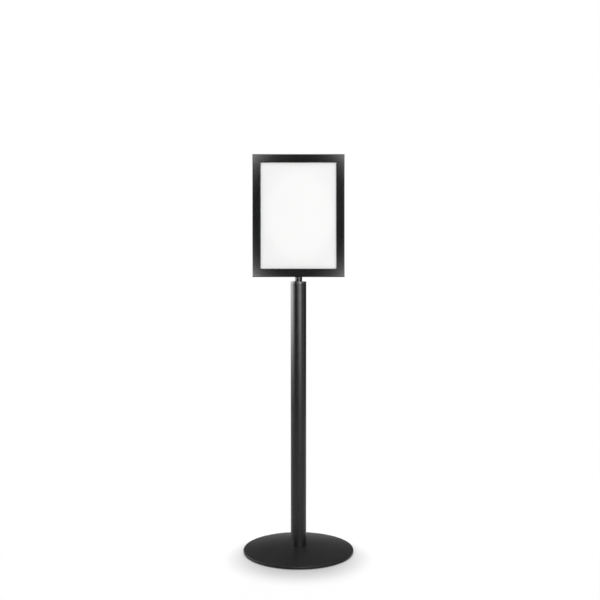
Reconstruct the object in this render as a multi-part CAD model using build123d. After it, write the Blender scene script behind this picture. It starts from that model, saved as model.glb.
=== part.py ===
from build123d import *
import math
import os

# Free-standing portrait sign stand: a round weighted base, a steel post and a
# top-loading sign frame that swivels on the post.
# Millimetres, Z up, origin on the floor under the post, front of the sign towards -Y.

# Sign sheet and its two clear panels
card_width = 254.0
card_height = 356.0
card_thickness = 0.8
panel_thickness = 1.5
sheet_gap = 0.2
sheet_side_clearance = 1.0
panel_top_recess = 6.0

# Frame rail section, measured inward from its outer edge and across its thickness
rail_width = 27.0
rail_thickness = 16.0
rail_wall = 1.8
rail_lip_wall = 1.6
rail_groove_depth = 5.0
rail_edge_radius = 2.0
rail_inside_radius = 0.4
slot_end_clearance = 0.5

# Corner plates inside the rails and their screws
plate_thickness = 3.0
plate_leg = 45.0
plate_clearance = 0.2
plate_seat_gap = 0.1
plate_screw_distance = 34.0
corner_screw_diameter = 3.0
corner_screw_head = 5.6
corner_screw_head_height = 1.6
corner_screw_length = 4.6
corner_screw_socket = 2.0
corner_screw_socket_depth = 1.1
screw_hole_clearance = 0.2
thread_clearance = 0.05

# Nut bar in the bottom rail and the swivel neck under it
nut_bar_length = 60.0
nut_bar_height = 8.0
nut_bar_clearance = 0.3
neck_diameter = 24.0
neck_height = 13.7
neck_edge_radius = 0.8
neck_stud_diameter = 8.0
neck_stud_length = 9.5
neck_stud_hole_clearance = 0.3
spindle_diameter = 12.0
spindle_thread_diameter = 10.0
thread_chamfer = 0.8

# Friction stack on the spindle, below the post cap
bush_wall = 2.0
bush_running_clearance = 0.03
bush_flange_diameter = 22.0
bush_flange_thickness = 1.5
bush_proud = 0.3
bush_end_recess = 0.5
push_fit_clearance = 0.02
stack_diameter = 24.0
stack_bore_clearance = 0.2
thrust_washer_thickness = 1.5
disc_spring_thickness = 1.0
disc_spring_height = 1.6
disc_spring_count = 2
disc_spring_gap = 0.02
neck_washer_thickness = 2.0
lock_nut_width = 17.0
lock_nut_hex_height = 7.6
lock_nut_height = 10.0
spindle_protrusion = 1.5

# Post tube and cap
post_diameter = 50.8
post_wall = 1.52
post_top_height = 872.0
post_edge_chamfer = 0.4
cap_side_height = 7.0
cap_edge_radius = 1.4
cap_crown_rise = 1.0
cap_crown_bulge = 0.2
cap_flat_margin = 0.6
cap_plug_length = 24.0
cap_plug_lead = 1.0

# Base cover, cast weight and rubber floor ring
base_diameter = 358.0
rim_height = 8.5
crown_height = 23.8
cover_thickness = 1.2
cover_floor_gap = 2.0
cover_edge_radius = 2.5
cover_weight_gap = 0.3
cover_post_clearance = 0.3
ring_flange_thickness = 2.5
ring_flange_width = 19.5
ring_lip_thickness = 2.3
ring_lip_height = 1.5
ring_cover_clearance = 0.2
ring_weight_clearance = 0.1
seat_depth = 5.8
seat_margin = 1.6
spigot_height = 4.0
spigot_clearance = 0.15

# Foot plug welded in the post, and the centre bolt from below
foot_plug_height = 16.0
foot_plug_lift = 0.3
foot_plug_lead = 1.0
bolt_diameter = 10.0
bolt_hole_clearance = 0.5
bolt_length = 25.0
bolt_head_width = 17.0
bolt_head_height = 6.4
bolt_floor_gap = 2.7
bolt_edge_chamfer = 0.6
lock_washer_diameter = 18.0
lock_washer_thickness = 2.2
lock_washer_split = 1.2
flat_washer_diameter = 20.0
flat_washer_thickness = 2.0
washer_bore_clearance = 0.25
bolt_pocket_clearance = 3.0

# Derived: base
base_radius = base_diameter / 2
dome_rise = crown_height - rim_height
dome_radius = (base_radius**2 + dome_rise**2) / (2 * dome_rise)
dome_centre_height = crown_height - dome_radius
cover_inner_radius = base_radius - cover_thickness
ring_outer_radius = cover_inner_radius - ring_cover_clearance
weight_radius = ring_outer_radius - ring_lip_thickness - ring_weight_clearance
weight_dome_radius = dome_radius - cover_thickness - cover_weight_gap
weight_floor_height = ring_flange_thickness
post_seat_height = crown_height - seat_depth
post_radius = post_diameter / 2
post_bore_radius = post_radius - post_wall
spigot_top_height = post_seat_height + spigot_height
foot_plug_floor = spigot_top_height + foot_plug_lift
bolt_head_top = bolt_floor_gap + bolt_head_height
lock_washer_top = bolt_head_top + lock_washer_thickness
flat_washer_top = lock_washer_top + flat_washer_thickness
bolt_pocket_radius = flat_washer_diameter / 2 + bolt_pocket_clearance

# Derived: post head and friction stack
cap_shoulder_height = post_top_height + cap_side_height
cap_top_height = cap_shoulder_height + cap_crown_rise
cap_plug_radius = post_bore_radius - push_fit_clearance
cap_bottom_height = post_top_height - cap_plug_length
bush_top_height = cap_top_height + bush_proud
bush_radius = spindle_diameter / 2 + bush_running_clearance + bush_wall
bush_flange_radius = bush_flange_diameter / 2
bush_seat_height = bush_top_height - bush_flange_thickness
frame_bottom_height = bush_top_height + neck_height
thrust_washer_floor = cap_bottom_height - thrust_washer_thickness
disc_spring_pitch = disc_spring_height + disc_spring_gap
neck_washer_top = thrust_washer_floor - disc_spring_count * disc_spring_pitch - disc_spring_gap
neck_washer_floor = neck_washer_top - neck_washer_thickness
lock_nut_floor = neck_washer_floor - lock_nut_height
spindle_end_height = lock_nut_floor - spindle_protrusion

# Derived: frame
groove_width = 2 * panel_thickness + card_thickness + 4 * sheet_gap
groove_floor = rail_width - rail_groove_depth
frame_width = card_width + 2 * sheet_side_clearance + 2 * groove_floor
frame_height = card_height + 2 * groove_floor
frame_centre_height = frame_bottom_height + frame_height / 2
chamber_end = groove_floor - rail_lip_wall
chamber_middle = (rail_wall + chamber_end) / 2
chamber_half = rail_thickness / 2 - rail_wall
sheet_floor_height = frame_bottom_height + groove_floor
panel_height = frame_height - groove_floor - panel_top_recess
panel_offset = card_thickness / 2 + sheet_gap + panel_thickness / 2

# Sides of the frame: the direction in from the outer edge and the direction of its length
sides = {
    "bottom": ((0, 0, 1), (1, 0, 0)),
    "left": ((1, 0, 0), (0, 0, -1)),
    "top": ((0, 0, -1), (-1, 0, 0)),
    "right": ((-1, 0, 0), (0, 0, 1)),
}


def turned(points):
    """Solid of revolution about Z from corners given as radius and height."""
    outline = Polyline(*[(radius, 0, height) for radius, height in points], close=True)
    return revolve(make_face(outline), Axis.Z)


def ring(outer, bore, low, high):
    """Flat ring between two heights."""
    return turned([(bore, low), (outer, low), (outer, high), (bore, high)])


def dome_height(sphere_radius, radius):
    """Height of a sphere about the dome's centre at a distance from the axis."""
    return dome_centre_height + math.sqrt(sphere_radius**2 - radius**2)


def hexagon_bar(width, low, high):
    """Hexagonal bar along Z with two flats facing left and right."""
    outline = Plane.XY.offset(low) * RegularPolygon(width / 2, 6, major_radius=False)
    return extrude(outline, high - low)


def domed_face(outer_radius, sphere_radius, floor, bore_radius):
    """Half section of a disc with a spherical top, a flat floor and a centre hole."""
    middle = (outer_radius + bore_radius) / 2
    top_outer = (outer_radius, 0, dome_height(sphere_radius, outer_radius))
    top_middle = (middle, 0, dome_height(sphere_radius, middle))
    top_inner = (bore_radius, 0, dome_height(sphere_radius, bore_radius))
    low_inner = (bore_radius, 0, floor)
    low_outer = (outer_radius, 0, floor)
    crown = ThreePointArc(top_outer, top_middle, top_inner)
    walls = Polyline(top_inner, low_inner, low_outer, top_outer)
    return make_face([crown, walls.edges()[0], walls.edges()[1], walls.edges()[2]])


def floor_ring():
    """Rubber ring with a lip round the weight's lower edge."""
    flange_inner = ring_outer_radius - ring_flange_width
    lip_inner = ring_outer_radius - ring_lip_thickness
    lip_top = ring_flange_thickness + ring_lip_height
    return turned(
        [
            (flange_inner, 0),
            (ring_outer_radius, 0),
            (ring_outer_radius, lip_top),
            (lip_inner, lip_top),
            (lip_inner, ring_flange_thickness),
            (flange_inner, ring_flange_thickness),
        ]
    )


def base_weight():
    """Cast disc with a post seat on top and a bolt pocket underneath."""
    hole_radius = bolt_diameter / 2 + bolt_hole_clearance
    body = revolve(
        domed_face(weight_radius, weight_dome_radius, weight_floor_height, hole_radius),
        Axis.Z,
    )
    seat_radius = post_radius + seat_margin
    spigot_radius = post_bore_radius - spigot_clearance
    seat = ring(seat_radius, spigot_radius, post_seat_height, crown_height)
    spigot_relief = ring(seat_radius, 0, spigot_top_height, crown_height)
    pocket = ring(bolt_pocket_radius, 0, 0, flat_washer_top)
    return body - seat - spigot_relief - pocket


def base_cover():
    """Spun steel dome with a turned-down rim and a hole for the post."""
    hole_radius = post_radius + cover_post_clearance
    section = domed_face(base_radius, dome_radius, cover_floor_gap, hole_radius)
    rim_corner = section.vertices().sort_by(Axis.X)[-2:].sort_by(Axis.Z)[-1]
    section = fillet(rim_corner, cover_edge_radius)
    hollow = domed_face(cover_inner_radius, dome_radius - cover_thickness, 0, 0)
    return revolve(section - hollow, Axis.Z)


def post_foot_plug():
    """Threaded disc near the foot of the post."""
    radius = post_bore_radius - push_fit_clearance
    bore = bolt_diameter / 2 + thread_clearance
    top = foot_plug_floor + foot_plug_height
    plug = ring(radius, bore, foot_plug_floor, top)
    rims = plug.edges().filter_by(GeomType.CIRCLE).sort_by(SortBy.RADIUS)[-2:]
    return chamfer(rims, foot_plug_lead)


def base_bolt():
    """Hexagon head bolt from under the base."""
    head = hexagon_bar(bolt_head_width, bolt_floor_gap, bolt_head_top)
    corner_radius = bolt_head_width / math.sqrt(3)
    crown = turned(
        [
            (0, bolt_floor_gap),
            (corner_radius - bolt_edge_chamfer, bolt_floor_gap),
            (corner_radius, bolt_floor_gap + bolt_edge_chamfer),
            (corner_radius, bolt_head_top),
            (0, bolt_head_top),
        ]
    )
    tip = bolt_head_top + bolt_length
    radius = bolt_diameter / 2
    shank = turned(
        [
            (0, bolt_head_top),
            (radius, bolt_head_top),
            (radius, tip - bolt_edge_chamfer),
            (radius - bolt_edge_chamfer, tip),
            (0, tip),
        ]
    )
    return (head & crown) + shank


def base_lock_washer():
    """Split spring washer on the bolt head."""
    bore = bolt_diameter / 2 + washer_bore_clearance
    washer = ring(lock_washer_diameter / 2, bore, bolt_head_top, lock_washer_top)
    split = Box(lock_washer_diameter, lock_washer_split, lock_washer_thickness)
    middle = (bolt_head_top + lock_washer_top) / 2
    return washer - Pos(lock_washer_diameter / 2, 0, middle) * split


def base_flat_washer():
    """Plain washer between the spring washer and the cast weight."""
    bore = bolt_diameter / 2 + washer_bore_clearance
    return ring(flat_washer_diameter / 2, bore, lock_washer_top, flat_washer_top)


def post_tube():
    """Round steel tube standing on the cast weight."""
    tube = ring(post_radius, post_bore_radius, post_seat_height, post_top_height)
    rims = tube.edges().filter_by(GeomType.CIRCLE).sort_by(SortBy.RADIUS)[-2:]
    return chamfer(rims.sort_by(Axis.Z)[-1], post_edge_chamfer)


def post_cap():
    """Turned cap with a rounded edge, a low crown, a plug inside the post and a bush bore."""
    flat_radius = neck_diameter / 2 + cap_flat_margin
    bore = bush_radius + push_fit_clearance
    flange_bore = bush_flange_radius + push_fit_clearance
    middle_radius = (post_radius + flat_radius) / 2
    middle_height = (cap_shoulder_height + cap_top_height) / 2 + cap_crown_bulge
    crown = ThreePointArc(
        (post_radius, 0, cap_shoulder_height),
        (middle_radius, 0, middle_height),
        (flat_radius, 0, cap_top_height),
    )
    walls = Polyline(
        (flat_radius, 0, cap_top_height),
        (flange_bore, 0, cap_top_height),
        (flange_bore, 0, bush_seat_height),
        (bore, 0, bush_seat_height),
        (bore, 0, cap_bottom_height),
        (cap_plug_radius - cap_plug_lead, 0, cap_bottom_height),
        (cap_plug_radius, 0, cap_bottom_height + cap_plug_lead),
        (cap_plug_radius, 0, post_top_height),
        (post_radius - post_edge_chamfer, 0, post_top_height),
        (post_radius, 0, post_top_height + post_edge_chamfer),
        (post_radius, 0, cap_shoulder_height),
    )
    section = make_face([crown, *walls.edges()])
    rim_corner = section.vertices().sort_by(Axis.X)[-2:].sort_by(Axis.Z)[-1]
    section = fillet(rim_corner, cap_edge_radius)
    return revolve(section, Axis.Z)


def swivel_bush():
    """Flanged bush that carries the neck in the cap."""
    bore = spindle_diameter / 2 + bush_running_clearance
    low = cap_bottom_height + bush_end_recess
    return turned(
        [
            (bore, low),
            (bush_radius, low),
            (bush_radius, bush_seat_height),
            (bush_flange_radius, bush_seat_height),
            (bush_flange_radius, bush_top_height),
            (bore, bush_top_height),
        ]
    )


def swivel_neck():
    """Turned neck: a stud for the frame, a plain collar and a spindle in the bush."""
    collar_radius = neck_diameter / 2
    stud_radius = neck_stud_diameter / 2
    stud_top = frame_bottom_height + neck_stud_length
    spindle_radius = spindle_diameter / 2
    thread_radius = spindle_thread_diameter / 2
    edge = min(neck_edge_radius, neck_height / 3)
    return turned(
        [
            (0, spindle_end_height),
            (thread_radius - thread_chamfer, spindle_end_height),
            (thread_radius, spindle_end_height + thread_chamfer),
            (thread_radius, neck_washer_top),
            (spindle_radius, neck_washer_top),
            (spindle_radius, bush_top_height),
            (collar_radius - edge, bush_top_height),
            (collar_radius, bush_top_height + edge),
            (collar_radius, frame_bottom_height - edge),
            (collar_radius - edge, frame_bottom_height),
            (stud_radius, frame_bottom_height),
            (stud_radius, stud_top - thread_chamfer),
            (stud_radius - thread_chamfer, stud_top),
            (0, stud_top),
        ]
    )


def thrust_washer():
    """Plastic washer that rubs on the underside of the cap."""
    bore = spindle_diameter / 2 + stack_bore_clearance
    return ring(stack_diameter / 2, bore, thrust_washer_floor, cap_bottom_height)


def disc_springs():
    """Conical spring washers, stacked rim to rim."""
    bore = spindle_diameter / 2 + stack_bore_clearance
    rim = stack_diameter / 2
    cone = disc_spring_height - disc_spring_thickness
    springs = []
    for index in range(disc_spring_count):
        top = thrust_washer_floor - disc_spring_gap - index * disc_spring_pitch
        inner_top = top - cone * (index % 2)
        outer_top = top - cone * (1 - index % 2)
        springs.append(
            turned(
                [
                    (bore, inner_top - disc_spring_thickness),
                    (rim, outer_top - disc_spring_thickness),
                    (rim, outer_top),
                    (bore, inner_top),
                ]
            )
        )
    return springs


def neck_washer():
    """Steel washer clamped between the spindle's shoulder and the lock nut."""
    bore = spindle_thread_diameter / 2 + stack_bore_clearance
    return ring(stack_diameter / 2, bore, neck_washer_floor, neck_washer_top)


def neck_lock_nut():
    """Lock nut with a hexagon and a plain collar below it."""
    bore = spindle_thread_diameter / 2 + thread_clearance
    collar_top = neck_washer_floor - lock_nut_hex_height
    body = hexagon_bar(lock_nut_width, collar_top, neck_washer_floor)
    collar = ring(lock_nut_width / 2, 0, lock_nut_floor, collar_top)
    return body + collar - ring(bore, 0, lock_nut_floor, neck_washer_floor)


def side_plane(name):
    """Plane at the middle of a rail's outer edge: x inward, y to the front, z along it."""
    inward, along = sides[name]
    half_width = frame_width / 2
    half_height = frame_height / 2
    origin = (-inward[0] * half_width, 0, frame_centre_height - inward[2] * half_height)
    return Plane(origin=origin, x_dir=inward, z_dir=along)


def side_length(name):
    """Length of a rail along its outer edge."""
    return frame_height if name in ("left", "right") else frame_width


def rail_section():
    """Hollow rail section with a groove for the sheets on its inner edge."""
    outline = Pos(rail_width / 2, 0) * Rectangle(rail_width, rail_thickness)
    outline = fillet(outline.vertices(), rail_edge_radius)
    chamber = Rectangle(chamber_end - rail_wall, 2 * chamber_half)
    chamber = fillet(chamber.vertices(), rail_inside_radius)
    outline -= Pos(chamber_middle, 0) * chamber
    mouth = Rectangle(2 * rail_groove_depth, groove_width)
    outline -= Pos(rail_width, 0) * mouth
    pocket_depth = rail_groove_depth - rail_lip_wall
    pocket = Rectangle(pocket_depth, 2 * chamber_half)
    return outline - Pos(groove_floor + pocket_depth / 2, 0) * pocket


def corner_screw_places(name):
    """Places along a rail of its two corner screws."""
    place = side_length(name) / 2 - plate_screw_distance
    return (-place, place)


def on_back_face(name, along):
    """Location on a rail's back face: its Z axis points out of the back."""
    plane = side_plane(name)
    spot = plane.from_local_coords((chamber_middle, -rail_thickness / 2, along))
    return Plane(origin=spot, x_dir=(1, 0, 0), z_dir=(0, 1, 0))


def rail(name):
    """One mitred frame rail with countersunk holes in its back wall."""
    length = side_length(name)
    plane = side_plane(name)
    bar = extrude(rail_section(), length / 2, both=True)
    mitre = Polyline(
        (0, 0, -length / 2),
        (0, 0, length / 2),
        (rail_width, 0, length / 2 - rail_width),
        (rail_width, 0, rail_width - length / 2),
        close=True,
    )
    body = plane.location * (bar & extrude(make_face(mitre), rail_thickness, both=True))
    for along in corner_screw_places(name):
        body -= on_back_face(name, along) * screw_shape(screw_hole_clearance, rail_wall)
    return body


def screw_shape(clearance, depth):
    """Countersunk screw shape from a face down, opened by a clearance."""
    shank_radius = corner_screw_diameter / 2 + clearance
    head_radius = corner_screw_head / 2 + clearance
    return turned(
        [
            (0, 0),
            (head_radius, 0),
            (shank_radius, -corner_screw_head_height),
            (shank_radius, -depth),
            (0, -depth),
        ]
    )


def top_rail():
    """Top rail with the loading slot through it."""
    slot_length = card_width + 2 * sheet_side_clearance + 2 * slot_end_clearance
    slot = Box(slot_length, groove_width, rail_width)
    slot_centre_height = frame_bottom_height + frame_height - rail_width / 2
    return rail("top") - Pos(0, 0, slot_centre_height) * slot


def bottom_rail():
    """Bottom rail with a clearance hole for the neck's stud."""
    radius = neck_stud_diameter / 2 + neck_stud_hole_clearance
    hole = Cylinder(radius, rail_wall)
    return rail("bottom") - Pos(0, 0, frame_bottom_height + rail_wall / 2) * hole


def corner_plate(across, up):
    """L plate against the back wall inside one corner; across and up are -1 or 1."""
    outer = rail_wall + plate_clearance
    inner = chamber_end - plate_clearance
    outline = Polyline(
        (outer, outer),
        (plate_leg, outer),
        (plate_leg, inner),
        (inner, inner),
        (inner, plate_leg),
        (outer, plate_leg),
        close=True,
    )
    plate = extrude(make_face(outline), plate_thickness)
    corner_x = across * frame_width / 2
    corner_z = frame_centre_height + up * frame_height / 2
    back = chamber_half - plate_seat_gap
    x_dir = (-across, 0, 0)
    z_dir = (0, -across * up, 0)
    lift = back if across * up > 0 else back - plate_thickness
    corner = Plane(origin=(corner_x, lift, corner_z), x_dir=x_dir, z_dir=z_dir)
    body = corner.location * plate
    radius = corner_screw_diameter / 2 + thread_clearance
    hole = Cylinder(radius, plate_thickness, rotation=(90, 0, 0))
    middle = back - plate_thickness / 2
    for inward, down in (
        (chamber_middle, plate_screw_distance),
        (plate_screw_distance, chamber_middle),
    ):
        body -= Pos(corner_x - across * inward, middle, corner_z - up * down) * hole
    return body


def corner_screws():
    """Countersunk screws through the back walls into the corner plates."""
    socket = extrude(
        RegularPolygon(corner_screw_socket / 2, 6, major_radius=False),
        -corner_screw_socket_depth,
    )
    screw = screw_shape(0, corner_screw_length) - socket
    return [
        on_back_face(name, along) * screw
        for name in sides
        for along in corner_screw_places(name)
    ]


def nut_bar():
    """Threaded bar inside the bottom rail for the neck's stud."""
    width = 2 * (chamber_half - nut_bar_clearance)
    floor = frame_bottom_height + rail_wall
    bar = Box(nut_bar_length, width, nut_bar_height)
    bar = chamfer(bar.edges().filter_by(Axis.X), rail_inside_radius)
    hole = Cylinder(neck_stud_diameter / 2 + thread_clearance, nut_bar_height)
    return Pos(0, 0, floor + nut_bar_height / 2) * (bar - hole)


def sheet(thickness, height, offset):
    """Flat sheet standing on the groove floor, offset towards the back."""
    body = Box(card_width, thickness, height)
    return Pos(0, offset, sheet_floor_height + height / 2) * body


def write(name, shape):
    """One STEP file for one node."""
    node = Compound(children=shape) if isinstance(shape, list) else shape
    node.label = name
    export_step(node, f"parts/{name}.step")


os.makedirs("parts", exist_ok=True)
write("floor_ring", floor_ring())
write("base_weight", base_weight())
write("base_cover", base_cover())
write("base_bolt", base_bolt())
write("base_lock_washer", base_lock_washer())
write("base_flat_washer", base_flat_washer())
write("post_foot_plug", post_foot_plug())
write("post_tube", post_tube())
write("post_cap", post_cap())
write("swivel_bush", swivel_bush())
write("swivel_neck", swivel_neck())
write("thrust_washer", thrust_washer())
write("disc_springs", disc_springs())
write("neck_washer", neck_washer())
write("neck_lock_nut", neck_lock_nut())
write("rail_nut_bar", nut_bar())
write("frame_rail_bottom", bottom_rail())
write("frame_rail_left", rail("left"))
write("frame_rail_top", top_rail())
write("frame_rail_right", rail("right"))
write("corner_plate_bottom_left", corner_plate(-1, -1))
write("corner_plate_bottom_right", corner_plate(1, -1))
write("corner_plate_top_left", corner_plate(-1, 1))
write("corner_plate_top_right", corner_plate(1, 1))
write("corner_screws", corner_screws())
write("front_clear_panel", sheet(panel_thickness, panel_height, -panel_offset))
write("sign_card", sheet(card_thickness, card_height, 0))
write("back_clear_panel", sheet(panel_thickness, panel_height, panel_offset))
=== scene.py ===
import math
from functools import reduce

import bpy
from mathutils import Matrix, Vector

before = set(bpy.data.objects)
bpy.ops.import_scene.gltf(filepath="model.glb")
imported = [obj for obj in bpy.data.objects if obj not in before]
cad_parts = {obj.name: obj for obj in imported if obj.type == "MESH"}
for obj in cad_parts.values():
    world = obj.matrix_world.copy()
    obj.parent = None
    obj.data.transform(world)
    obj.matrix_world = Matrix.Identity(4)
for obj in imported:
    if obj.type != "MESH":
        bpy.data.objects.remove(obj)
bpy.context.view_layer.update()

# A free-standing sign stand in a plain white studio. Metres, Z up, the sign's front towards -Y.

MM = 0.001

# Camera: level, so that the post and the frame keep their widths from top to bottom
IMAGE_PIXELS = 600
SENSOR_WIDTH = 36.0
FOCAL_PIXELS = 778.0
CAMERA_DISTANCE = 2.540
CAMERA_HEIGHT = 0.819
CAMERA_ASIDE = 0.0049
CAMERA_REACH = 50.0

# Lamps, where a level of 1 is white. A place is an azimuth, a distance and a height, and the watts are those
# of a lamp at level 1.
WHITE = (1, 1, 1, 1)
WHITE_LEVEL = 1.0
AMBIENT_LEVEL = 0.61
FRONT_FILL_LEVEL = 3.41
FRONT_FILL_PLACE = (8, 3.2, 1.5)
FRONT_FILL_AIM = (0, 0, 1.0)
TOP_FILL_LEVEL = 4.25
TOP_FILL_PLACE = (180, 1.0, 3.0)
TOP_FILL_AIM = (0, 0, 0)
SOFTBOX_SIDE = 1.6
WATTS_PER_SQUARE_METRE = 4

# Floor: a painted soft round shadow lies under the stand, and past the fade's two radii the floor is plain
# white
FLOOR_SIZE = 12.0
FLOOR_COLOUR = (0.80, 0.80, 0.80, 1)
FLOOR_LIFT = 0.20
FLOOR_FADE = (0.45, 0.95)
# Painted shadow: its dark colour, how far in front of the post its middle lies, its two radii and its depth
PAINTED_SHADOW_COLOUR = (0, 0, 0, 1)
PAINTED_SHADOW_FORWARD = 0.057
PAINTED_SHADOW_RADII = (0.115, 0.272)
PAINTED_SHADOW_DEPTH = 0.40

# Room seen only in gloss: a dark round drape with soft patches of light. A patch has a level, an azimuth,
# the half angles in degrees where it is full and where it ends, and the heights where it rises or falls.
ROOM_RADIUS = 2.9
ROOM_HEIGHT = 3.2
ROOM_SIDES = 128
ROOM_LEVEL = 0.13
KEY_LEVEL = 10.0
KEY_AZIMUTH = 25
KEY_SPREAD = (6, 23)
KEY_RISE = (0.0, 0.95)
LEFT_LEVEL = 14.0
LEFT_AZIMUTH = -99
LEFT_SPREAD = (12, 47)
LEFT_RISE = (0.17, 1.05)
LEFT_FALL = (1.00, 1.30)
RIGHT_LEVEL = 0.9
RIGHT_AZIMUTH = 60
RIGHT_SPREAD = (10, 45)
BACK_LEVEL = 0.52
BACK_AZIMUTH = 180
BACK_SPREAD = (40, 80)
BACK_FALL = (0.05, 0.70)

# The room behind the camera, by the distance from the point that the middle of the sign's flat front
# mirrors. From the inside out it has a white wall for the clear panel, a dark shade for the frame's rails,
# and a halo with a brighter crest for the frame's corners. Distances aside count for more than up and down.
SHADE_HEIGHT = 1.408
SHADE_NARROWING = 1.26
WALL_LEVEL = 0.90
WALL_EDGE = (0.25, 0.36)
SHADE_EDGE = (0.40, 0.72)
CREST_LEVEL = 9.0
CREST_EDGE = (0.535, 0.590)
HALO_LEVEL = 6.5
HALO_FADE = (0.74, 0.98)
HALO_RISE = (0.76, 0.90)

# Colours of the finishes, most with the second one that they drift or tarnish to
BLACK = (0.008, 0.008, 0.0085, 1)
BLACK_DRIFT = (0.011, 0.011, 0.0115, 1)
FRAME_BLACK = (0.0045, 0.0045, 0.0048, 1)
PRIMER_GREY = (0.10, 0.10, 0.105, 1)
DUST_GREY = (0.22, 0.215, 0.21, 1)
ZINC = (0.56, 0.57, 0.58, 1)
ZINC_TARNISH = (0.36, 0.36, 0.35, 1)
DARK_STEEL = (0.035, 0.035, 0.037, 1)
DARK_STEEL_TARNISH = (0.02, 0.02, 0.02, 1)
BRONZE = (0.20, 0.165, 0.12, 1)
BRONZE_TARNISH = (0.11, 0.09, 0.07, 1)
IRON = (0.055, 0.055, 0.058, 1)
IRON_STAIN = (0.095, 0.085, 0.078, 1)
RUBBER = (0.018, 0.018, 0.018, 1)
RUBBER_DRIFT = (0.028, 0.028, 0.028, 1)
NYLON = (0.74, 0.73, 0.69, 1)
NYLON_DRIFT = (0.78, 0.77, 0.74, 1)
CARD_SHADE = (0.90, 0.90, 0.895, 1)
CARD_WHITE = (0.93, 0.93, 0.925, 1)


def polar(azimuth, distance, height):
    """Point round the post: azimuth 0 is towards the camera and 90 towards +X."""
    angle = math.radians(azimuth)
    return Vector((distance * math.sin(angle), -distance * math.cos(angle), height))


# Node helpers

NUMBER = "NodeSocketFloat"
COLOUR = "NodeSocketColor"
GIVES_A_NUMBER = ("DOT_PRODUCT", "DISTANCE", "LENGTH")


def feed(tree, value, socket):
    """Link another node's output to a socket, or set the socket to a plain value."""
    if isinstance(value, bpy.types.NodeSocket):
        tree.links.new(value, socket)
    else:
        socket.default_value = value


def feed_in_order(tree, values, node):
    """Feed a node's inputs from the first on."""
    for value, socket in zip(values, node.inputs):
        feed(tree, value, socket)


def add_node(tree, kind, **values):
    """A node with its properties set by name, and its inputs fed by their names."""
    node = tree.nodes.new(kind)
    for name, value in values.items():
        if hasattr(node, name):
            setattr(node, name, value)
        else:
            feed(tree, value, node.inputs[name.replace("_", " ")])
    return node


def maths(tree, operation, *values, clamp=False):
    """Maths on outputs or numbers; returns its output."""
    node = add_node(tree, "ShaderNodeMath", operation=operation, use_clamp=clamp)
    feed_in_order(tree, values, node)
    return node.outputs[0]


def vector_maths(tree, operation, *values):
    """Maths on vectors; returns a number where the operation gives one, and otherwise a vector."""
    node = add_node(tree, "ShaderNodeVectorMath", operation=operation)
    feed_in_order(tree, values, node)
    return node.outputs["Value" if operation in GIVES_A_NUMBER else "Vector"]


def product(tree, *values):
    """Several values multiplied together."""
    return reduce(lambda first, second: maths(tree, "MULTIPLY", first, second), values)


def largest(tree, *values):
    """The largest of several values."""
    return reduce(lambda first, second: maths(tree, "MAXIMUM", first, second), values)


def blend_numbers(tree, share, first, second):
    """Two numbers added up, the second with the given share and the first with the rest."""
    rest = maths(tree, "MULTIPLY", first, 1 - share)
    return maths(tree, "ADD", rest, maths(tree, "MULTIPLY", second, share))


def spread(tree, value, edges, low=0.0, high=1.0):
    """Smooth step of a value, from low at the first edge to high at the second."""
    node = add_node(tree, "ShaderNodeMapRange", interpolation_type="SMOOTHSTEP", Value=value)
    for name, number in zip(("From Min", "From Max", "To Min", "To Max"), (*edges, low, high)):
        feed(tree, number, node.inputs[name])
    return node.outputs["Result"]


def blend_colours(tree, factor, first, second):
    """First colour where the factor is 0, second where it is 1."""
    node = add_node(tree, "ShaderNodeMix", data_type="RGBA", Factor=factor)
    for name, colour in (("A", first), ("B", second)):
        feed(tree, colour, next(s for s in node.inputs if s.name == name and s.type == "RGBA"))
    return next(s for s in node.outputs if s.type == "RGBA")


def object_place(tree):
    """Place on the object, in metres."""
    return tree.nodes.new("ShaderNodeTexCoord").outputs["Object"]


def geometry(tree, name):
    """Position, normal or side of the surface."""
    return tree.nodes.new("ShaderNodeNewGeometry").outputs[name]


def upward_part(tree, vector):
    """Z of a place or a normal."""
    return add_node(tree, "ShaderNodeSeparateXYZ", Vector=vector).outputs["Z"]


def stretched(tree, place, scale):
    """A place scaled along each axis, which draws a noise out where the scale is small."""
    return add_node(tree, "ShaderNodeMapping", Vector=place, Scale=scale).outputs["Vector"]


def noise(tree, place, scale, detail=3.0, roughness=0.5):
    """Noise of about scale cells in a metre."""
    node = add_node(
        tree, "ShaderNodeTexNoise", Vector=place, Scale=scale, Detail=detail, Roughness=roughness
    )
    return node.outputs["Fac"]


def mix_shaders(tree, factor, first, second):
    """First shader where the factor is 0, second where it is 1."""
    node = tree.nodes.new("ShaderNodeMixShader")
    feed_in_order(tree, (factor, first, second), node)
    return node.outputs["Shader"]


def new_group(name, inputs, outputs):
    """Shader node group; its inputs come with their usual values and its outputs with their kinds."""
    group = bpy.data.node_groups.new(name, "ShaderNodeTree")
    for label, usual in inputs.items():
        kind = COLOUR if isinstance(usual, tuple) else NUMBER
        group.interface.new_socket(name=label, in_out="INPUT", socket_type=kind).default_value = usual
    for label, kind in outputs.items():
        group.interface.new_socket(name=label, in_out="OUTPUT", socket_type=kind)
    start = group.nodes.new("NodeGroupInput")
    end = group.nodes.new("NodeGroupOutput")
    return group, start.outputs, end.inputs


def place_group(tree, group, **values):
    """A group placed in a material with its inputs set by name; returns its outputs."""
    return add_node(tree, "ShaderNodeGroup", node_tree=group, **values).outputs


# Powder coat: orange peel over two blacks that mix in a slow drift and a fine speckle

DRIFT_SCALE = 9.0
SPECKLE_SCALE = 1400.0
SPECKLE_SHARE = 0.3
MIDDLE_OF_MASK = 0.5
PEEL_SCALE = 420.0
PEEL_DEPTH = 0.15 * MM


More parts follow.
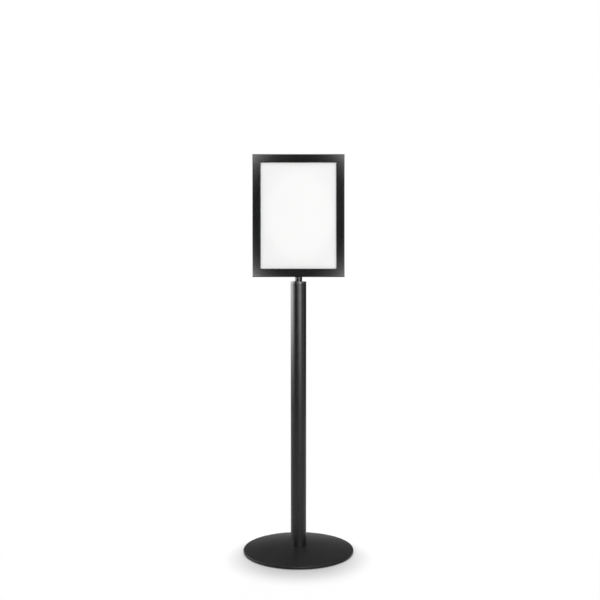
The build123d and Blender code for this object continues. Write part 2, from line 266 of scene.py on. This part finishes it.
def powder_coat_group():
    """Colour, roughness and orange peel of a powder coat."""
    group, given, result = new_group(
        "powder_coat",
        {
            "Colour": BLACK,
            "Drift Colour": BLACK_DRIFT,
            "Roughness": 0.35,
            "Roughness Drift": 0.08,
            "Peel Scale": PEEL_SCALE,
        },
        {"Colour": COLOUR, "Roughness": NUMBER, "Height": NUMBER},
    )
    place = object_place(group)
    drift = noise(group, place, DRIFT_SCALE, detail=4.0)
    speckle = noise(group, place, SPECKLE_SCALE, detail=2.0)
    peel = noise(group, place, given["Peel Scale"], detail=2.0, roughness=0.4)
    mask = blend_numbers(group, SPECKLE_SHARE, drift, speckle)
    colour = blend_colours(group, mask, given["Colour"], given["Drift Colour"])
    offset = maths(group, "SUBTRACT", mask, MIDDLE_OF_MASK)
    change = product(group, offset, given["Roughness Drift"])
    group.links.new(colour, result["Colour"])
    group.links.new(maths(group, "ADD", given["Roughness"], change, clamp=True), result["Roughness"])
    group.links.new(peel, result["Height"])
    return group


# Edge wear: the turn from the true to the rounded normal, as a cosine, and the noise that breaks the wear up

WEAR_RADIUS = 1.5 * MM
METAL_WEAR_RADIUS = 0.6 * MM
WEAR_SAMPLES = 6
WEAR_TURN = (0.98, 0.85)
WEAR_BREAK_SCALE = 120.0
WEAR_BREAKS = (0.35, 0.65)


def edge_wear_group():
    """Mask of edges rubbed thin: where a rounded normal leaves the true one, broken by noise."""
    group, given, result = new_group(
        "edge_wear",
        {"Radius": WEAR_RADIUS, "Amount": 0.5, "Break Scale": WEAR_BREAK_SCALE},
        {"Mask": NUMBER},
    )
    rounded = add_node(group, "ShaderNodeBevel", samples=WEAR_SAMPLES, Radius=given["Radius"])
    turn = vector_maths(group, "DOT_PRODUCT", rounded.outputs["Normal"], geometry(group, "Normal"))
    edge = spread(group, turn, WEAR_TURN)
    patches = noise(group, object_place(group), given["Break Scale"], detail=5.0)
    worn = product(group, edge, spread(group, patches, WEAR_BREAKS))
    group.links.new(maths(group, "MULTIPLY", worn, given["Amount"], clamp=True), result["Mask"])
    return group


# Settled dust: how far a face has to look up to hold it, its patches and its grains

DUST_SLOPE = (0.55, 0.98)
DUST_PATCH_SCALE = 14.0
DUST_PATCHES = (0.3, 0.75)
DUST_GRAIN_SCALE = 2200.0
DUST_GRAINS = (0.4, 0.7)
DUST_BETWEEN_GRAINS = 0.4
DUST_ROUGHNESS = 0.4


def settled_dust_group():
    """Mask of fine dust that lies on upward faces in uneven patches."""
    group, given, result = new_group(
        "settled_dust",
        {"Amount": 0.2, "Patch Scale": DUST_PATCH_SCALE},
        {"Mask": NUMBER},
    )
    place = object_place(group)
    upward = spread(group, upward_part(group, geometry(group, "Normal")), DUST_SLOPE)
    cloud = noise(group, place, given["Patch Scale"], detail=5.0, roughness=0.6)
    patches = spread(group, cloud, DUST_PATCHES)
    grains = spread(group, noise(group, place, DUST_GRAIN_SCALE, detail=1.0), DUST_GRAINS)
    uneven = product(group, patches, maths(group, "ADD", grains, DUST_BETWEEN_GRAINS))
    dusty = product(group, upward, uneven)
    group.links.new(maths(group, "MULTIPLY", dusty, given["Amount"], clamp=True), result["Mask"])
    return group


# Machined metal: lines drawn out across the Z axis, and patches of tarnish

LINE_SCALE = 1800.0
LINE_STRETCH = (0.04, 0.04, 1.0)
LINE_ROUGHNESS = 0.18
LINE_RELIEF = 0.15
LINE_DEPTH = 0.05 * MM
TARNISH_SCALE = 90.0
TARNISH_PATCHES = (0.45, 0.75)
MOST_TARNISH = 0.6


def machined_metal_group():
    """Colour, roughness and lines of turned or rolled metal with some tarnish."""
    group, given, result = new_group(
        "machined_metal",
        {
            "Colour": ZINC,
            "Tarnish": ZINC_TARNISH,
            "Roughness": 0.32,
            "Line Scale": LINE_SCALE,
        },
        {"Colour": COLOUR, "Roughness": NUMBER, "Height": NUMBER},
    )
    place = object_place(group)
    lines = noise(group, stretched(group, place, LINE_STRETCH), given["Line Scale"])
    patches = noise(group, place, TARNISH_SCALE, detail=4.0)
    tarnish = spread(group, patches, TARNISH_PATCHES, 0.0, MOST_TARNISH)
    colour = blend_colours(group, tarnish, given["Colour"], given["Tarnish"])
    rougher = product(group, lines, LINE_ROUGHNESS)
    group.links.new(colour, result["Colour"])
    group.links.new(maths(group, "ADD", given["Roughness"], rougher, clamp=True), result["Roughness"])
    group.links.new(lines, result["Height"])
    return group


# Moulded rubber and plastic: a fine grain over a slow drift of colour

MOULDED_DRIFT_SCALE = 30.0
GRAIN_SCALE = 500.0
GRAIN_EDGES = (0.3, 0.7)
GRAIN_ROUGHNESS = 0.06
GRAIN_RELIEF = 0.4


def moulded_grain_group():
    """Colour, roughness and grain of a moulded surface."""
    group, given, result = new_group(
        "moulded_grain",
        {
            "Colour": NYLON,
            "Drift Colour": NYLON_DRIFT,
            "Roughness": 0.5,
            "Grain Scale": GRAIN_SCALE,
        },
        {"Colour": COLOUR, "Roughness": NUMBER, "Height": NUMBER},
    )
    place = object_place(group)
    grain = noise(group, place, given["Grain Scale"])
    drift = noise(group, place, MOULDED_DRIFT_SCALE, detail=4.0)
    colour = blend_colours(group, drift, given["Colour"], given["Drift Colour"])
    change = spread(group, grain, GRAIN_EDGES, -GRAIN_ROUGHNESS, GRAIN_ROUGHNESS)
    group.links.new(colour, result["Colour"])
    group.links.new(maths(group, "ADD", given["Roughness"], change, clamp=True), result["Roughness"])
    group.links.new(grain, result["Height"])
    return group


powder_coat = powder_coat_group()
edge_wear = edge_wear_group()
settled_dust = settled_dust_group()
machined_metal = machined_metal_group()
moulded_grain = moulded_grain_group()


# Materials


def empty_tree(owner, output):
    """Node tree of a material or a world with nothing but an output; returns it and its Surface socket."""
    owner.use_nodes = True
    tree = owner.node_tree
    tree.nodes.clear()
    return tree, tree.nodes.new(output).inputs["Surface"]


def new_material(name):
    """Empty node material; returns it with its tree and its Surface socket."""
    material = bpy.data.materials.new(name)
    tree, surface = empty_tree(material, "ShaderNodeOutputMaterial")
    return material, tree, surface


def solid_material(name):
    """Node material of one Principled shader; returns it with its tree and the shader."""
    material, tree, surface = new_material(name)
    shader = tree.nodes.new("ShaderNodeBsdfPrincipled")
    tree.links.new(shader.outputs["BSDF"], surface)
    return material, tree, shader


def dress(tree, shader, colour, roughness, height, strength, depth):
    """Give a shader its colour, its roughness and a bump from a height."""
    relief = add_node(tree, "ShaderNodeBump", Strength=strength, Distance=depth, Height=height)
    tree.links.new(colour, shader.inputs["Base Color"])
    tree.links.new(roughness, shader.inputs["Roughness"])
    tree.links.new(relief.outputs["Normal"], shader.inputs["Normal"])


def powder_coated(name, colour, drift, roughness, gloss, peel, wear=0.25, dust=0.0):
    """Black powder coat with edges rubbed to the primer and a little dust on its upward faces."""
    material, tree, shader = solid_material(name)
    paint = place_group(tree, powder_coat, Colour=colour, Drift_Colour=drift, Roughness=roughness)
    rubbed = place_group(tree, edge_wear, Amount=wear)["Mask"]
    dusty = place_group(tree, settled_dust, Amount=dust)["Mask"]
    surface = blend_colours(tree, rubbed, paint["Colour"], PRIMER_GREY)
    surface = blend_colours(tree, dusty, surface, DUST_GREY)
    rough = maths(tree, "MULTIPLY_ADD", dusty, DUST_ROUGHNESS, paint["Roughness"])
    dress(tree, shader, surface, rough, paint["Height"], peel, PEEL_DEPTH)
    shader.inputs["Specular IOR Level"].default_value = gloss
    return material


def metal(name, colour, tarnish, roughness, wear=0.0):
    """Bare or plated metal with machining lines and tarnish, rubbed clean along its edges."""
    material, tree, shader = solid_material(name)
    finish = place_group(tree, machined_metal, Colour=colour, Tarnish=tarnish, Roughness=roughness)
    rubbed = place_group(tree, edge_wear, Amount=wear, Radius=METAL_WEAR_RADIUS)["Mask"]
    surface = blend_colours(tree, rubbed, finish["Colour"], colour)
    dress(tree, shader, surface, finish["Roughness"], finish["Height"], LINE_RELIEF, LINE_DEPTH)
    shader.inputs["Metallic"].default_value = 1.0
    return material


def moulded(name, colour, drift, roughness, grain_scale, grain_depth):
    """Moulded rubber or plastic with a fine grain."""
    material, tree, shader = solid_material(name)
    finish = place_group(
        tree,
        moulded_grain,
        Colour=colour,
        Drift_Colour=drift,
        Roughness=roughness,
        Grain_Scale=grain_scale,
    )
    dress(tree, shader, finish["Colour"], finish["Roughness"], finish["Height"], GRAIN_RELIEF, grain_depth)
    return material


SAND_SCALE = 650.0
SAND_EDGES = (0.3, 0.7)
SAND_ROUGHNESS = (0.62, 0.85)
SAND_RELIEF = 0.8
SAND_DEPTH = 0.4 * MM
STAIN_SCALE = 22.0
STAIN_EDGES = (0.35, 0.7)


def cast_iron():
    """Sand-cast surface under a thin dark primer."""
    material, tree, shader = solid_material("raw_cast_iron")
    place = object_place(tree)
    sand = noise(tree, place, SAND_SCALE, detail=6.0, roughness=0.65)
    stain = spread(tree, noise(tree, place, STAIN_SCALE, detail=5.0), STAIN_EDGES)
    colour = blend_colours(tree, stain, IRON, IRON_STAIN)
    rough = spread(tree, sand, SAND_EDGES, *SAND_ROUGHNESS)
    dress(tree, shader, colour, rough, sand, SAND_RELIEF, SAND_DEPTH)
    return material


FIBRE_SCALE = 1600.0
FIBRE_STRETCH = (1.0, 1.0, 0.35)
FIBRE_EDGES = (0.3, 0.7)
FIBRE_ROUGHNESS = (0.62, 0.75)
FIBRE_RELIEF = 0.15
FIBRE_DEPTH = 0.05 * MM
CLOUD_SCALE = 18.0
CLOUD_SHARE = 0.4


def card_stock():
    """Blank white card: faint fibres and a barely uneven white."""
    material, tree, shader = solid_material("white_card")
    place = object_place(tree)
    fibres = noise(tree, stretched(tree, place, FIBRE_STRETCH), FIBRE_SCALE, detail=5.0, roughness=0.6)
    cloud = noise(tree, place, CLOUD_SCALE)
    shade = blend_numbers(tree, CLOUD_SHARE, fibres, cloud)
    colour = blend_colours(tree, shade, CARD_SHADE, CARD_WHITE)
    rough = spread(tree, fibres, FIBRE_EDGES, *FIBRE_ROUGHNESS)
    dress(tree, shader, colour, rough, fibres, FIBRE_RELIEF, FIBRE_DEPTH)
    return material


WIPE_SCALE = 60.0
WIPE_EDGES = (0.4, 0.8)
WIPE_ROUGHNESS = (0.015, 0.05)
PLASTIC_IOR = 1.49


def clear_sheet():
    """Clear polished plastic with faint wipe marks. Lamp light and soft light go through it unbent."""
    material, tree, surface = new_material("clear_plastic")
    wipes = noise(tree, object_place(tree), WIPE_SCALE, detail=4.0)
    shader = add_node(
        tree,
        "ShaderNodeBsdfPrincipled",
        Base_Color=WHITE,
        Transmission_Weight=1.0,
        IOR=PLASTIC_IOR,
        Roughness=spread(tree, wipes, WIPE_EDGES, *WIPE_ROUGHNESS),
    )
    through = tree.nodes.new("ShaderNodeBsdfTransparent").outputs["BSDF"]
    path = tree.nodes.new("ShaderNodeLightPath").outputs
    sheet = mix_shaders(tree, path["Is Diffuse Ray"], shader.outputs["BSDF"], through)
    tree.links.new(mix_shaders(tree, path["Is Shadow Ray"], sheet, through), surface)
    return material


post_paint = powder_coated(
    "post_powder_coat", BLACK, BLACK_DRIFT, roughness=0.28, gloss=0.28, peel=0.10
)
base_paint = powder_coated(
    "base_powder_coat", BLACK, BLACK_DRIFT, roughness=0.36, gloss=0.22, peel=0.12, wear=0.08, dust=0.03
)
frame_paint = powder_coated(
    "frame_powder_coat", FRAME_BLACK, BLACK, roughness=0.075, gloss=0.3, peel=0.010
)
cap_paint = powder_coated(
    "cap_powder_coat", BLACK, BLACK_DRIFT, roughness=0.30, gloss=0.6, peel=0.08, wear=0.5
)
zinc = metal("zinc_steel", ZINC, ZINC_TARNISH, roughness=0.28, wear=0.4)
dark_steel = metal("black_screw", DARK_STEEL, DARK_STEEL_TARNISH, roughness=0.30, wear=0.5)
bronze = metal("bush_bronze", BRONZE, BRONZE_TARNISH, roughness=0.42)
iron = cast_iron()
rubber = moulded(
    "floor_rubber", RUBBER, RUBBER_DRIFT, roughness=0.75, grain_scale=900.0, grain_depth=0.1 * MM
)
nylon = moulded(
    "white_nylon", NYLON, NYLON_DRIFT, roughness=0.42, grain_scale=GRAIN_SCALE, grain_depth=0.03 * MM
)
card = card_stock()
clear = clear_sheet()

# Every node that isn't named here is zinc-plated steel
MATERIAL_OF = {
    "floor_ring": rubber,
    "base_weight": iron,
    "base_cover": base_paint,
    "post_tube": post_paint,
    "post_cap": cap_paint,
    "swivel_neck": post_paint,
    "swivel_bush": bronze,
    "thrust_washer": nylon,
    "frame_rail_bottom": frame_paint,
    "frame_rail_left": frame_paint,
    "frame_rail_top": frame_paint,
    "frame_rail_right": frame_paint,
    "corner_screws": dark_steel,
    "front_clear_panel": clear,
    "back_clear_panel": clear,
    "sign_card": card,
}

for name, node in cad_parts.items():
    node.data.materials.clear()
    node.data.materials.append(MATERIAL_OF.get(name, zinc))


# Studio


def diffuse(tree, colour):
    """Plain matt surface."""
    return add_node(tree, "ShaderNodeBsdfDiffuse", Color=colour).outputs["BSDF"]


def emission(tree, level):
    """White light of a level."""
    return add_node(tree, "ShaderNodeEmission", Color=WHITE, Strength=level).outputs["Emission"]


def looked_at(tree):
    """1 where a thing is seen straight, in gloss or through a clear sheet, 0 where it lights others."""
    path = tree.nodes.new("ShaderNodeLightPath").outputs
    return largest(tree, path["Is Camera Ray"], path["Is Glossy Ray"], path["Is Transmission Ray"])


def hide_from(thing, *rays):
    """Hide a stage piece or a lamp from some kinds of ray."""
    for ray in rays:
        setattr(thing, f"visible_{ray}", False)


def studio_floor():
    """White floor: the stand's cast shadow over a painted soft shadow, fading into the background, clear
    from below.
    """
    bpy.ops.mesh.primitive_plane_add(size=FLOOR_SIZE)
    floor = bpy.context.object
    floor.name = "studio_floor"
    material, tree, surface = new_material("studio_floor")
    place = object_place(tree)
    # Painted shadow: the floor's colour and its lift glow darken in a soft disc just in front of the post
    from_painted_shadow = vector_maths(tree, "DISTANCE", place, (0, -PAINTED_SHADOW_FORWARD, 0))
    painted_shadow = spread(tree, from_painted_shadow, PAINTED_SHADOW_RADII, 1 - PAINTED_SHADOW_DEPTH, 1.0)
    paint = diffuse(tree, blend_colours(tree, painted_shadow, PAINTED_SHADOW_COLOUR, FLOOR_COLOUR))
    near = tree.nodes.new("ShaderNodeAddShader")
    feed_in_order(tree, (paint, emission(tree, product(tree, painted_shadow, FLOOR_LIFT))), near)
    far = spread(tree, vector_maths(tree, "LENGTH", place), FLOOR_FADE)
    shown = mix_shaders(tree, far, near.outputs["Shader"], emission(tree, WHITE_LEVEL))
    upper = mix_shaders(tree, looked_at(tree), diffuse(tree, FLOOR_COLOUR), shown)
    under = tree.nodes.new("ShaderNodeBsdfTransparent").outputs["BSDF"]
    tree.links.new(mix_shaders(tree, geometry(tree, "Backfacing"), upper, under), surface)
    floor.data.materials.append(material)


def studio_world():
    """White to the camera, in gloss and through clear sheets; a soft grey level as light."""
    world = bpy.data.worlds.new("studio")
    bpy.context.scene.world = world
    tree, surface = empty_tree(world, "ShaderNodeOutputWorld")
    level = maths(tree, "MULTIPLY_ADD", looked_at(tree), WHITE_LEVEL - AMBIENT_LEVEL, AMBIENT_LEVEL)
    light = add_node(tree, "ShaderNodeBackground", Color=WHITE, Strength=level)
    tree.links.new(light.outputs["Background"], surface)


def lobe(tree, direction, azimuth, half_angles):
    """1 near an azimuth and 0 past it, between two half angles in degrees."""
    full, end = (math.cos(math.radians(angle)) for angle in half_angles)
    aim = vector_maths(tree, "DOT_PRODUCT", direction, polar(azimuth, 1, 0))
    return spread(tree, aim, (end, full))


def from_shade(tree, place):
    """Distance from the shade's middle, behind the camera, with distances aside counted for more."""
    offset = vector_maths(tree, "SUBTRACT", place, (0, -ROOM_RADIUS, SHADE_HEIGHT))
    return vector_maths(tree, "LENGTH", vector_maths(tree, "MULTIPLY", offset, (SHADE_NARROWING, 1, 1)))


def room_light(tree):
    """Level of the room's light: the drape's own and that of the brightest patch."""
    place = geometry(tree, "Position")
    height = upward_part(tree, place)
    direction = vector_maths(tree, "NORMALIZE", vector_maths(tree, "MULTIPLY", place, (1, 1, 0)))
    reach = from_shade(tree, place)
    past_shade = spread(tree, reach, SHADE_EDGE)
    wall = spread(tree, reach, WALL_EDGE, WALL_LEVEL, 0.0)
    halo = product(
        tree,
        past_shade,
        spread(tree, reach, HALO_FADE, 1.0, 0.0),
        spread(tree, height, HALO_RISE),
        spread(tree, reach, CREST_EDGE, HALO_LEVEL, HALO_LEVEL + CREST_LEVEL),
    )
    key = product(
        tree,
        lobe(tree, direction, KEY_AZIMUTH, KEY_SPREAD),
        spread(tree, height, KEY_RISE),
        past_shade,
        KEY_LEVEL,
    )
    left = product(
        tree,
        lobe(tree, direction, LEFT_AZIMUTH, LEFT_SPREAD),
        spread(tree, height, LEFT_RISE),
        spread(tree, height, LEFT_FALL, 1.0, 0.0),
        LEFT_LEVEL,
    )
    right = product(tree, lobe(tree, direction, RIGHT_AZIMUTH, RIGHT_SPREAD), RIGHT_LEVEL)
    back = product(
        tree,
        lobe(tree, direction, BACK_AZIMUTH, BACK_SPREAD),
        spread(tree, height, BACK_FALL, 1.0, 0.0),
        BACK_LEVEL,
    )
    return maths(tree, "ADD", largest(tree, wall, halo, key, left, right, back), ROOM_LEVEL)


def gloss_room():
    """Round drape that only gloss sees, lit in soft patches."""
    bpy.ops.mesh.primitive_cylinder_add(
        vertices=ROOM_SIDES, radius=ROOM_RADIUS, depth=ROOM_HEIGHT, end_fill_type="NOTHING"
    )
    room = bpy.context.object
    room.name = "gloss_room"
    room.location = (0, 0, ROOM_HEIGHT / 2)
    for polygon in room.data.polygons:
        polygon.use_smooth = True
    material, tree, surface = new_material("gloss_room")
    tree.links.new(emission(tree, room_light(tree)), surface)
    room.data.materials.append(material)
    hide_from(room, "camera", "diffuse", "transmission", "shadow")


def softbox(name, place, aim, level):
    """Square lamp of an even level that faces a point; gloss sees the room instead."""
    lamp = bpy.data.lights.new(name, "AREA")
    lamp.shape = "SQUARE"
    lamp.size = SOFTBOX_SIDE
    lamp.energy = level * WATTS_PER_SQUARE_METRE * SOFTBOX_SIDE**2
    holder = bpy.data.objects.new(name, lamp)
    bpy.context.collection.objects.link(holder)
    holder.location = polar(*place)
    holder.rotation_euler = (Vector(aim) - holder.location).to_track_quat("-Z", "Y").to_euler()
    hide_from(holder, "camera", "glossy", "transmission")


def photo_camera():
    """Level camera at the photograph's distance and height."""
    lens = bpy.data.cameras.new("photo_camera")
    lens.sensor_width = SENSOR_WIDTH
    lens.lens = FOCAL_PIXELS / IMAGE_PIXELS * SENSOR_WIDTH
    lens.clip_end = CAMERA_REACH
    camera = bpy.data.objects.new("photo_camera", lens)
    bpy.context.collection.objects.link(camera)
    camera.location = (CAMERA_ASIDE, -CAMERA_DISTANCE, CAMERA_HEIGHT)
    camera.rotation_euler = (math.pi / 2, 0, 0)
    bpy.context.scene.camera = camera


studio_floor()
studio_world()
gloss_room()
softbox("front_fill", FRONT_FILL_PLACE, FRONT_FILL_AIM, FRONT_FILL_LEVEL)
softbox("top_fill", TOP_FILL_PLACE, TOP_FILL_AIM, TOP_FILL_LEVEL)
photo_camera()
bpy.context.scene.view_settings.view_transform = "Standard"
